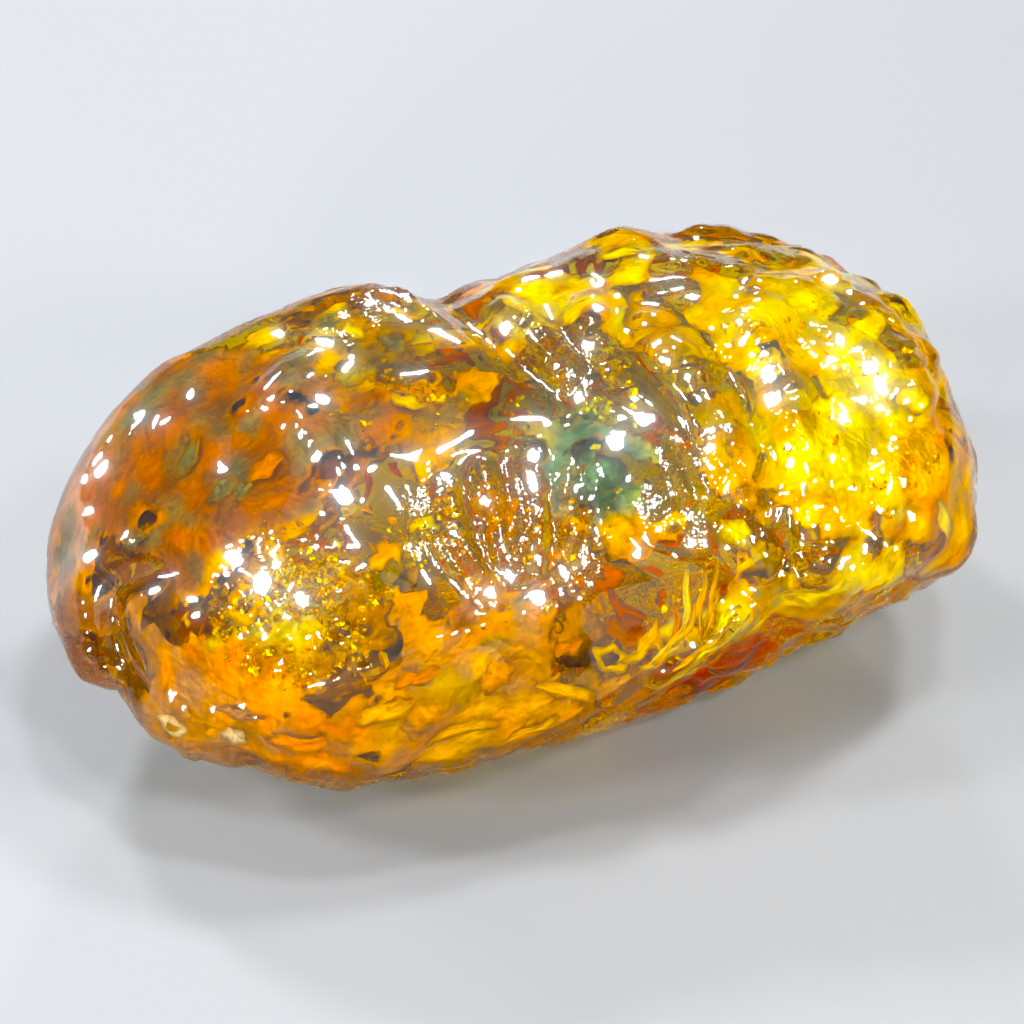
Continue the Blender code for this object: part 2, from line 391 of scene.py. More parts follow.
@dataclass
class Studio:
    """The floor, the lights and the camera."""

    view: View = field(default_factory=View)
    floor_side: float = 4000.0
    floor_gap: float = 0.02
    sky: Colour = (0.94, 0.97, 1.0)
    sky_strength: float = 0.18
    bloom: tuple[tuple[str, Any], ...] = (
        ("Threshold", 1.3),
        ("Strength", 0.8),
        ("Size", 0.3),
        ("Tint", (0.72, 0.86, 1.0, 1.0)),
        ("Clamp", True),
        ("Maximum", 4.0),
    )
    vividness: float = 1.2
    exposure: float = 0.28
    lamps: tuple[Lamp, ...] = (
        Lamp("soft_top", 10, 80, 1.8, 1100, 700, (1.0, 0.98, 0.94)),
        Lamp("soft_front", -10, 8, 1.1, 600, 500, (0.97, 0.98, 1.0)),
        Lamp("glint_low_front", -30, 16, 1.3, 60, colour=WARM_LIGHT),
        Lamp("glint_low_right", 50, 24, 1.3, 60, colour=WARM_LIGHT),
        Lamp("glint_back", 165, 20, 0.45, 34),
        Lamp("glint_back_left", -160, 45),
        Lamp("glint_low_left", -140, 12),
        Lamp("glint_left", -92, 42),
        Lamp("glint_front_left", -70, 30),
        Lamp("glint_front", 20, 50, 0.8, 46),
        Lamp("glint_right", 105, 62),
        Lamp("glint_top", 60, 80, 0.8, 46),
    )

    def build(self) -> None:
        """Makes the floor, the sky, the lights and the camera."""
        mesh = bpy.data.meshes.new("floor")
        half = self.floor_side / 2 * MM
        corners = ((-half, -half, 0), (half, -half, 0), (half, half, 0), (-half, half, 0))
        mesh.from_pydata(corners, (), ((0, 1, 2, 3),))
        floor = shown("floor", mesh)
        floor.location.z = -self.floor_gap * MM
        mesh.materials.append(PALE_FLOOR.material())
        world = bpy.data.worlds.new("sky")
        bpy.context.scene.world = world
        world.use_nodes = True
        background = world.node_tree.nodes["Background"]
        background.inputs["Color"].default_value = (*self.sky, 1.0)
        background.inputs["Strength"].default_value = self.sky_strength
        for lamp in self.lamps:
            lamp.build()
        scene = bpy.context.scene
        scene.view_settings.view_transform = "Standard"
        scene.view_settings.exposure = self.exposure
        scene.cycles.max_bounces = 6
        scene.cycles.transmission_bounces = 6
        scene.cycles.caustics_reflective = False
        scene.cycles.diffuse_bounces = 1
        scene.cycles.glossy_bounces = 3
        scene.cycles.sample_clamp_indirect = 8.0
        self.view.build()
        self.soften(scene)

    def soften(self, scene: bpy.types.Scene) -> None:
        """Lets the brightest glints bloom a little, as a lens does.

        Args:
            scene: The scene.
        """
        scene.use_nodes = True
        tree = scene.node_tree
        tree.nodes.clear()
        kinds = ("RLayers", "Glare", "HueSat", "Composite")
        chain = [tree.nodes.new(f"CompositorNode{kind}") for kind in kinds]
        for before, after in zip(chain, chain[1:]):
            tree.links.new(before.outputs["Image"], after.inputs["Image"])
        _, glare, vivid, _ = chain
        glare.glare_type = "BLOOM"
        for key, value in self.bloom:
            glare.inputs[key].default_value = value
        vivid.inputs["Saturation"].default_value = self.vividness


def scattered(rng: random.Random) -> Vector:
    """A random step of about one millimetre."""
    return Vector((rng.gauss(0, 1), rng.gauss(0, 1), rng.gauss(0, 1)))


def smooth(values: np.ndarray, low: float, high: float) -> np.ndarray:
    """A smooth step from 0 at low to 1 at high."""
    t = np.clip((values - low) / (high - low), 0, 1)
    return t * t * (3 - 2 * t)


class Pattern:
    """Random patterns in space that are the same at every run."""

    octave_shift: float = 31.7
    axis_shift: float = 57.3
    beyond: float = 9.0

    def __init__(self, seed: int) -> None:
        """Draws the pattern's tables.

        Args:
            seed: The seed of the draw.
        """
        rng = np.random.default_rng(seed)
        self.order = rng.permutation(256)
        self.heights = rng.uniform(-1, 1, 256)
        self.shifts = rng.random((256, 3))

    def draw(self, cell: np.ndarray) -> np.ndarray:
        """A number under 256 for each cell of a grid.

        Args:
            cell: The cells, one row each.

        Returns:
            The numbers.
        """
        first = self.order[cell[:, 0] & 255]
        second = self.order[(first + cell[:, 1]) & 255]
        return self.order[(second + cell[:, 2]) & 255]

    def clouds(self, points: np.ndarray, size: float, octaves: int = 1) -> np.ndarray:
        """Smooth humps and hollows, about 0.

        Args:
            points: The places, one row each.
            size: The humps' size, in millimetres.
            octaves: How many sizes of humps there are, each half the last.

        Returns:
            A height for each place.
        """
        total = np.zeros(len(points))
        for octave in range(octaves):
            place = points * (2**octave / size) + self.octave_shift * octave
            cell = np.floor(place).astype(int)
            t = place - cell
            t = t * t * (3 - 2 * t)
            for corner in np.ndindex(2, 2, 2):
                share = np.prod(np.where(corner, t, 1 - t), axis=1)
                total += share * self.heights[self.draw(cell + corner)] / 2**octave
        return total

    def warped(self, points: np.ndarray, size: float, reach: float) -> np.ndarray:
        """The points, each pushed aside by up to about the reach."""
        pushes = [self.clouds(points + self.axis_shift * axis, size, 2) for axis in (1, 2, 3)]
        return points + reach * np.stack(pushes, axis=1)

    def cells(self, points: np.ndarray, size: float) -> tuple[np.ndarray, np.ndarray, np.ndarray]:
        """Splits space into cells.

        Args:
            points: The places, one row each.
            size: The cells' size, in millimetres.

        Returns:
            The distances to the nearest two cells' middles, as shares of the size, and the cells' numbers.
        """
        place = points / size
        cell = np.floor(place).astype(int)
        nearest = np.full(len(points), self.beyond)
        second = np.full(len(points), self.beyond)
        own = np.zeros(len(points), int)
        for step in np.ndindex(3, 3, 3):
            beside = cell + np.array(step) - 1
            drawn = self.draw(beside)
            apart = np.linalg.norm(beside + self.shifts[drawn] - place, axis=1)
            closer = apart < nearest
            second = np.where(closer, nearest, np.minimum(second, apart))
            nearest = np.where(closer, apart, nearest)
            own = np.where(closer, drawn, own)
        return nearest, second, own

    def cobbles(self, points: np.ndarray, size: float) -> np.ndarray:
        """Round-topped stones of a size, 1 on top and 0 in the creases between them."""
        nearest, second, _ = self.cells(self.warped(points, size * 1.6, size * 0.35), size)
        return smooth(second - nearest, 0.0, 0.45) * np.clip(1.15 - nearest**2, 0, 1)


class Skin:
    """The nugget's fine surface as arrays, in millimetres, with the photograph's view of it."""

    def __init__(self, mesh: bpy.types.Mesh, view: View) -> None:
        """Reads the mesh's points and normals.

        Args:
            mesh: The surface, in millimetres.
            view: The photograph's view of it.
        """
        self.mesh = mesh
        self.view = view
        points = np.empty(len(mesh.vertices) * 3, np.float32)
        mesh.vertices.foreach_get("co", points)
        self.points = points.reshape(-1, 3).astype(float)
        self.normals = self.read_normals()
        self.faces = [tuple(face.vertices) for face in mesh.polygons]
        self.tree = BVHTree.FromPolygons(self.points, self.faces)

    def read_normals(self) -> np.ndarray:
        """Reads the mesh's normals.

        Returns:
            The normals of its points, one row each.
        """
        normals = np.empty(len(self.mesh.vertices) * 3, np.float32)
        self.mesh.vertex_normals.foreach_get("vector", normals)
        return normals.reshape(-1, 3).astype(float)

    def lift(self, height: np.ndarray) -> None:
        """Moves every point along its normal.

        Args:
            height: How far each point moves, in millimetres.
        """
        self.points = self.points + self.normals * height[:, None]
        self.mesh.vertices.foreach_set("co", self.points.astype(np.float32).ravel())
        self.mesh.update()
        self.normals = self.read_normals()
        self.tree = BVHTree.FromPolygons(self.points, self.faces)

    def touch(self, pixel: Pixel) -> tuple[Vector, Vector]:
        """Where the camera sees a pixel of the photograph on the skin.

        Args:
            pixel: The pixel. One that misses the nugget takes the nearest point of its outline.

        Returns:
            The point and the skin's normal there.
        """
        eye = self.view.eye()
        way = self.view.towards(pixel)
        spot, normal, _, _ = self.tree.ray_cast(eye, way)
        if spot is None:
            reach = (Vector(self.view.target) - eye).dot(way)
            spot, normal, _, _ = self.tree.find_nearest(eye + way * reach)
        return spot, normal

    def along(self, path: Path, steps: int) -> np.ndarray:
        """Points of the skin under a smooth path.

        Args:
            path: The pixels that it runs through.
            steps: How many points there are.

        Returns:
            The points, one row each.
        """
        knots = np.array((path[0], *path, path[-1]), float)
        place = np.linspace(0, len(path) - 1.0001, steps)
        first = place.astype(int)
        t = (place - first)[:, None]
        a, b, c, d = (knots[first + k] for k in range(4))
        pixels = b + 0.5 * t * (c - a + t * (2 * a - 5 * b + 4 * c - d + t * (3 * (b - c) + d - a)))
        return np.array([self.touch(tuple(pixel))[0] for pixel in pixels])

    def apart(self, pixel: Pixel) -> np.ndarray:
        """How far each point is from a pixel's place."""
        return np.linalg.norm(self.points - np.array(self.touch(pixel)[0]), axis=1)

    def spread(self, spots: Sequence[Spot]) -> np.ndarray:
        """The soft mask of several round places together, 1 in their middles."""
        masks = [1 - smooth(self.apart(spot[:2]), 0.55 * spot[2], spot[2]) for spot in spots]
        return np.max(masks, axis=0)

    def dome(self, spot: Spot) -> np.ndarray:
        """A rounded bump, 1 on top."""
        return np.exp(-((self.apart(spot[:2]) / (0.7 * spot[2])) ** 2))

    def crest(self, path: Path, width: float) -> np.ndarray:
        """A soft line along a path that fades at its ends.

        Args:
            path: The pixels that it runs through.
            width: Half its width, in millimetres.

        Returns:
            The mask of the line, 1 on it.
        """
        steps = 12 * len(path)
        places = self.along(path, steps)
        low = places.min(axis=0) - 3 * width
        high = places.max(axis=0) + 3 * width
        close = np.flatnonzero(((self.points > low) & (self.points < high)).all(axis=1))
        apart = np.linalg.norm(self.points[close, None] - places, axis=2)
        reached = np.linspace(-0.98, 0.98, steps)[np.argmin(apart, axis=1)]
        line = np.zeros(len(self.points))
        fade = np.sqrt(np.cos(0.5 * np.pi * reached))
        line[close] = fade * np.exp(-((apart.min(axis=1) / width) ** 2))
        return line

    def paint(self, part: Part, mask: np.ndarray) -> None:
        """Keeps a mask on the mesh."""
        layer = self.mesh.attributes.new(part.value, "FLOAT", "POINT")
        layer.data.foreach_set("value", np.clip(mask, 0, 1).astype(np.float32))


@dataclass(frozen=True)
class Crest:
    """A fine ridge along a path of pixels, or a furrow where the height is negative."""

    path: Path
    width: float
    height: float


@dataclass
class Nugget:
    """The nugget's fine skin, made from its solid."""

    voxel: float = 0.202
    weld: float = 0.001
    node: str = "amber_nugget"
    finish: AmberFinish = field(default_factory=AmberFinish)
    view: View = field(default_factory=View)
    lamps: tuple[Lamp, ...] = ()
    crests: tuple[Crest, ...] = (
        # The flow ridges between the lobes, from the left
        Crest(((503, 296), (527, 325), (546, 346), (562, 382), (600, 408), (640, 425)), 0.35, 0.22),
        Crest(((583, 262), (597, 312), (593, 348), (612, 378), (642, 402)), 0.4, 0.25),
        Crest(((655, 345), (672, 365), (692, 382), (707, 412), (715, 450), (742, 487)), 0.4, 0.28),
        Crest(((735, 318), (758, 340), (772, 370), (783, 410), (797, 450), (795, 478)), 0.5, 0.3),
        Crest(((700, 330), (735, 380), (752, 430), (765, 490), (762, 540)), 0.4, -0.3),
        # Fine flow lines under them
        Crest(((650, 430), (680, 480), (702, 530)), 0.22, 0.12),
        Crest(((676, 428), (700, 478), (722, 530)), 0.22, 0.14),
        Crest(((598, 505), (640, 545), (700, 565)), 0.25, 0.14),
        Crest(((730, 430), (742, 470), (745, 515)), 0.22, 0.14),
        # Low folds on the window
        Crest(((283, 333), (322, 345), (327, 372), (300, 392), (250, 411)), 0.35, 0.1),
        Crest(((250, 411), (290, 424), (320, 452), (326, 482), (318, 505)), 0.3, 0.09),
        Crest(((400, 455), (375, 450), (350, 440), (340, 425)), 0.3, 0.08),
        Crest(((130, 440), (160, 400), (200, 372), (240, 352)), 0.5, 0.08),
        # Folds over the top of the broad lobe
        Crest(((372, 292), (398, 300), (425, 322)), 0.3, -0.22),
        Crest(((390, 284), (418, 300), (446, 324)), 0.25, 0.16),
        # The torn pocket's rim and its ripples
        Crest(((413, 482), (440, 460), (482, 450), (530, 447), (572, 440)), 0.3, 0.1),
        Crest(((413, 482), (425, 520), (446, 562), (487, 606)), 0.25, 0.22),
        Crest(((446, 470), (458, 530), (494, 592)), 0.3, 0.24),
        Crest(((462, 466), (472, 520), (502, 590)), 0.28, -0.3),
        Crest(((478, 460), (486, 510), (506, 585)), 0.3, 0.26),
        Crest(((503, 458), (510, 520), (524, 600)), 0.32, -0.34),
        Crest(((522, 452), (532, 505), (537, 560), (541, 608)), 0.34, 0.32),
        Crest(((546, 452), (554, 510), (560, 590)), 0.32, -0.34),
        Crest(((562, 450), (571, 505), (577, 560), (584, 588)), 0.3, 0.28),
        Crest(((590, 460), (598, 510), (602, 570)), 0.32, -0.26),
        # The grainy hollow's lower lip and the curl in it
        Crest(
            ((205, 672), (240, 690), (290, 692), (340, 680), (385, 662), (440, 641), (500, 622)),
            0.3,
            0.15,
        ),
        Crest(((226, 600), (238, 580), (256, 592), (262, 618), (250, 634)), 0.25, 0.2),
        # The sharp edge at the front and the knob's groove
        Crest(
            ((560, 738), (600, 715), (640, 690), (668, 672), (700, 650), (735, 618), (765, 585)),
            0.45,
            0.42,
        ),
        Crest(((575, 752), (610, 733), (650, 708), (690, 684), (725, 655), (765, 615)), 0.5, -0.3),
        # The dark crack and the fine scratches
        Crest(((942, 380), (937, 408), (922, 426), (902, 437)), 0.3, -0.42),
        Crest(((170, 417), (185, 422), (202, 433)), 0.22, 0.12),
        Crest(((225, 711), (240, 712), (258, 711)), 0.22, 0.12),
        Crest(((175, 575), (140, 578), (115, 592), (110, 620), (120, 658), (150, 690)), 0.35, -0.25),
    )
    # Facets that mirror a lamp
    facets: tuple[Spot, ...] = (
        (280, 335, 0.5), (325, 345, 0.6), (325, 400, 0.55), (190, 395, 0.4), (247, 411, 0.3),
        (140, 415, 0.3), (103, 470, 0.5), (88, 512, 0.4), (90, 555, 0.55), (125, 537, 0.4),
        (153, 590, 0.4), (172, 692, 0.35), (185, 706, 0.3), (343, 500, 0.5), (262, 585, 0.65),
        (237, 560, 0.4), (280, 547, 0.3), (300, 600, 0.5), (644, 420, 0.5), (597, 312, 0.5),
        (593, 349, 0.42), (525, 323, 0.3), (540, 345, 0.3), (547, 361, 0.3), (663, 360, 0.3),
        (690, 380, 0.45), (701, 400, 0.3), (828, 280, 0.55), (858, 350, 0.45), (868, 372, 0.6),
        (880, 386, 0.5), (850, 400, 0.3), (844, 368, 0.3), (741, 325, 0.3), (751, 336, 0.3),
        (766, 355, 0.45), (772, 377, 0.5), (775, 403, 0.55), (783, 426, 0.4), (790, 446, 0.36),
        (793, 466, 0.4), (533, 455, 0.55), (533, 480, 0.35), (487, 505, 0.45), (535, 510, 0.4),
        (582, 487, 0.4), (591, 498, 0.35), (535, 560, 0.45), (537, 597, 0.6), (487, 592, 0.5),
        (511, 575, 0.5), (566, 572, 0.5), (712, 470, 0.3), (710, 450, 0.3), (676, 556, 0.3),
        (838, 568, 0.3), (735, 475, 0.3),
    )
    # Paths that many small facets follow, and how many each has
    chains: tuple[tuple[int, Path], ...] = (
        (7, ((283, 333), (322, 345), (327, 372), (300, 392), (250, 411))),
        (8, ((250, 411), (290, 424), (320, 452), (326, 482), (318, 505))),
        (11, ((505, 300), (530, 328), (547, 361), (580, 396), (620, 420))),
        (9, ((583, 270), (597, 312), (593, 348), (620, 385), (644, 410))),
        (13, ((655, 345), (680, 370), (701, 400), (712, 440), (722, 480), (740, 500))),
        (20, ((738, 318), (758, 345), (772, 375), (781, 410), (793, 470))),
        (14, ((530, 450), (534, 490), (530, 530), (537, 610))),
        (9, ((575, 470), (590, 500), (600, 530))),
        (10, ((487, 500), (480, 540), (490, 600), (510, 570), (566, 575))),
        (8, ((440, 480), (450, 530), (480, 590))),
        (14, ((838, 340), (860, 356), (885, 395), (862, 400))),
        (5, ((75, 600), (85, 640), (110, 668))),
        (4, ((90, 480), (84, 520), (95, 560))),
        (5, ((165, 680), (180, 705), (258, 711))),
        (8, ((230, 555), (262, 585), (300, 560), (310, 610), (280, 625))),
        (6, ((820, 270), (850, 290), (900, 340))),
        (6, ((720, 530), (790, 540), (840, 568), (880, 540))),
    )
    bead: Spot = (915, 398, 1.4)
    bead_height: float = 0.3
    smooth_end: tuple[Spot, ...] = ((965, 420, 3.4), (965, 500, 4.4), (950, 560, 3.4))
    grainy: tuple[Spot, ...] = ((290, 600, 3.9), (250, 590, 2.6), (330, 640, 2.6))
    torn: tuple[Spot, ...] = (
        (450, 520, 2.6), (490, 560, 2.4), (525, 500, 2.8), (570, 545, 2.4),
        (700, 480, 3.6), (560, 350, 3.6), (400, 296, 3.0), (350, 330, 2.2),
    )
    low_rim: Path = ((130, 692), (190, 738), (250, 760), (400, 782), (500, 766), (570, 738))
    stains: tuple[tuple[Part, tuple[Spot, ...]], ...] = (
        (Part.BROWN, (
            (230, 470, 7.0), (130, 500, 4.5), (400, 430, 4.0),
            (520, 520, 3.0), (700, 420, 3.0), (895, 505, 1.8),
        )),
        (Part.RED, ((640, 725, 2.6), (690, 695, 3.0), (730, 670, 2.6), (775, 630, 2.4))),
        (Part.GREEN, (
            (182, 458, 1.3), (228, 486, 1.6), (130, 542, 1.0), (390, 345, 2.0), (445, 440, 2.4),
            (600, 655, 2.2), (690, 350, 2.2), (560, 370, 3.2), (650, 400, 3.2), (500, 410, 2.6),
            (620, 330, 2.2), (700, 450, 2.4), (450, 690, 1.6),
        )),
        (Part.TEAL, ((570, 425, 2.8), (605, 455, 2.8), (640, 480, 2.0))),
    )
    # How far a facet may be turned, how far a chain's facets stray in pixels, and their radii
    turned: float = math.radians(35)
    stray: float = 4.0
    small: tuple[float, float] = (0.26, 0.4)
    # The relief of the narrower lobe, which sets in between two places along the nugget
    cobbled: tuple[float, float] = (5.0, 9.5)
    cobble: Texture = (1.9, 0.12)
    small_cobble: Texture = (0.9, 0.04)
    lump: Texture = (3.2, 0.16)
    # The relief of the hollow, of the torn places, of the whole skin and of the low rim
    grain: Texture = (1.0, 0.1)
    tear: Texture = (0.8, 0.05)
    swell: Texture = (2.6, 0.12)
    ripple: Texture = (1.1, 0.04)
    crumb: Texture = (0.6, 0.15)
    # The relief of the underside, and how much of its cobbles and of its grain the back has
    under_cobble: Texture = (2.4, 0.2)
    under_grain: Texture = (1.0, 0.1)
    behind: tuple[float, float] = (0.4, 0.6)
    # The lowest and highest relief, before the facets and after them
    relief: tuple[float, float] = (-0.45, 0.42)
    reach: tuple[float, float] = (-0.5, 0.45)

    def fine(self, voxel: float, smoothing: int = 0) -> bpy.types.Mesh:
        """The solid's mesh, smoothed and made fine.

        Args:
            voxel: How fine, in millimetres.
            smoothing: How many times it is smoothed further.

        Returns:
            The mesh, in millimetres.
        """
        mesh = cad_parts[self.node].data.copy()
        mesh.transform(Matrix.Scale(1 / MM, 4))
        welded = bmesh.new()
        welded.from_mesh(mesh)
        bmesh.ops.remove_doubles(welded, verts=welded.verts, dist=self.weld)
        welded.to_mesh(mesh)
        welded.free()
        carrier = shown("carrier", mesh)
        carrier.modifiers.new("rounded", "SUBSURF").levels = 2
        remesh = carrier.modifiers.new("remesh", "REMESH")
        remesh.mode = "VOXEL"
        remesh.voxel_size = voxel
        if smoothing:
            carrier.modifiers.new("softened", "SMOOTH").iterations = smoothing
        graph = bpy.context.evaluated_depsgraph_get()
        made = bpy.data.meshes.new_from_object(carrier.evaluated_get(graph))
        bpy.data.objects.remove(carrier)
        return made

    def carve(self, skin: Skin) -> None:
        """Adds the fine relief and paints the masks.

        Args:
            skin: The fine surface.
        """
        spots = skin.points
        x, _, z = spots.T
        _, backward, upward = skin.normals.T
        pattern = Pattern(3)

        def cobbles(texture: Texture, where: np.ndarray = spots) -> np.ndarray:
            """A relief of cobbles."""
            return texture[1] * pattern.cobbles(where, texture[0])

        def clouds(texture: Texture, octaves: int = 1) -> np.ndarray:
            """A relief of humps and hollows."""
            return texture[1] * pattern.clouds(spots, texture[0], octaves)

        grounded = smooth(z, 0.05, 0.8)
        under = 1 - smooth(upward, -0.55, -0.15)
        back = smooth(backward, 0.3, 0.75)
        cobbled = smooth(x, *self.cobbled) * (1 - 0.9 * skin.spread(self.smooth_end))
        cobbled *= (1 - under) * (1 - 0.85 * smooth(backward, -0.1, 0.4))
        grainy = skin.spread(self.grainy)
        torn = skin.spread(self.torn)
        height = cobbled * (cobbles(self.cobble) + cobbles(self.small_cobble, spots + 9) + clouds(self.lump))
        height += grainy * cobbles(self.grain, pattern.warped(spots, 1.0, 0.5))
        height += torn * clouds(self.tear, 2)
        under_size, under_height = self.under_cobble
        height += under_height * (under + self.behind[0] * back) * (pattern.cobbles(spots, under_size) - 0.4)
        height += (under + self.behind[1] * back) * clouds(self.under_grain, 2)
        height += clouds(self.swell) + clouds(self.ripple)
        beads = 0.8 + clouds((0.9, 0.7))
        for crest in self.crests:
            height += crest.height * beads * skin.crest(crest.path, crest.width)
        height += self.bead_height * skin.dome(self.bead)
        clear = smooth(-backward, 0.0, 0.5) * smooth(x, -2.0, 2.0)
        rind = under * (1 - 0.85 * clear) + 0.5 * back * smooth(pattern.clouds(spots, 3.0, 2), 0.0, 0.3)
        rim = skin.crest(self.low_rim, 1.2)
        height += rim * clouds(self.crumb, 2)
        rind = np.maximum(np.clip(rind, 0, 1), 0.2 * rim)
        height, shine = self.polished(skin, np.clip(height, *self.relief))
        speckled = smooth(pattern.clouds(spots, 0.6, 2), -0.5, 0.5)
        skin.paint(Part.DULL, (1 - shine) * rind * (0.08 + 0.2 * speckled))
        skin.paint(Part.GRIT, (1 - shine) * (0.8 * rind + 0.22 * torn + 0.1 * grainy + 0.08 * cobbled))
        self.stain(skin, pattern)
        skin.lift(np.clip(height, *self.reach) * grounded)

    def polished(self, skin: Skin, height: np.ndarray) -> tuple[np.ndarray, np.ndarray]:
        """Flattens the facets, each turned to mirror the lamp that it almost mirrors already.

        Args:
            skin: The fine surface.
            height: The relief so far.

        Returns:
            The relief with the facets, and the mask of the facets.
        """
        shine = np.zeros(len(height))
        rng = random.Random(5)
        facets: list[Spot] = []
        for count, path in self.chains:
            for _ in range(count):
                start = rng.randrange(len(path) - 1)
                t = rng.random()
                x, y = ((1 - t) * path[start][k] + t * path[start + 1][k] for k in (0, 1))
                strayed = (x + rng.gauss(0, self.stray), y + rng.gauss(0, self.stray))
                facets.append((*strayed, rng.uniform(*self.small)))
        eye = self.view.eye()
        for across, down, radius in (*facets, *self.facets):
            spot, normal = skin.touch((across, down))
            middle = int(np.argmin(np.linalg.norm(skin.points - np.array(spot), axis=1)))
            spot = Vector(skin.points[middle])
            seen = (eye - spot).normalized()
            halves = [((lamp.place() - spot).normalized() + seen).normalized() for lamp in self.lamps]
            half = max(halves, key=normal.dot)
            if half.angle(normal) > self.turned:
                continue
            apart = skin.points - np.array(spot)
            mask = 1 - smooth(np.linalg.norm(apart, axis=1), 0.75 * radius, 1.35 * radius)
            facing = np.maximum(skin.normals @ np.array(half), 0.5)
            plane = (height[middle] - apart @ np.array(half)) / facing
            height = height + mask * (plane - height)
            shine = np.maximum(shine, mask)
        return height, shine

    def stain(self, skin: Skin, pattern: Pattern) -> None:
        """Stains the skin in ragged patches.

        Args:
            skin: The fine surface.
            pattern: The patches' random pattern.
        """
        ragged = pattern.clouds(pattern.warped(skin.points, 1.5, 0.8), 1.4, 3)
        for part, spots in self.stains:
            skin.paint(part, smooth(skin.spread(spots) + 0.5 * ragged, 0.3, 0.7))

    def build(self) -> Skin:
        """Makes the nugget.

        Returns:
            Its skin, for what lies inside.
        """
        mesh = self.fine(self.voxel)
        mesh.name = "nugget_skin"
        skin = Skin(mesh, self.view)
        self.carve(skin)
        mesh.transform(Matrix.Scale(MM, 4))
        mesh.materials.clear()
        mesh.materials.append(self.finish.material())
        mesh.shade_smooth()
        nugget = shown("nugget_skin", mesh)
        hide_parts(self.node)
        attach(nugget, "root")
        LOG.info("nugget_skin: %d faces", len(mesh.polygons))
        return skin


@dataclass(frozen=True)
class Region:
    """The films near a place: how much of it they fill, and their tones."""

    pixel: Pixel
    radius: float
    cover: float
    tones: tuple[Colour, ...]


@dataclass(frozen=True)
class Film:
    """A layer of crinkled films that follows the skin at a depth."""

    name: str
    depth: float
    voxel: float
    smoothing: int
    cover: float
    seed: int


@dataclass(frozen=True)
class Bed:
    """A bed of flecks under a round place on the skin."""

    pixel: Pixel
    spread: float
    depth: tuple[float, float]
    count: int
    size: tuple[float, float]


@dataclass(frozen=True)
class Leaf:
    """One flake that the photograph shows clearly, from one pixel to another."""

    start: Pixel
    end: Pixel
    width: float
    tone: Colour
    depth: float = 0.45
    hole: float = 0.0


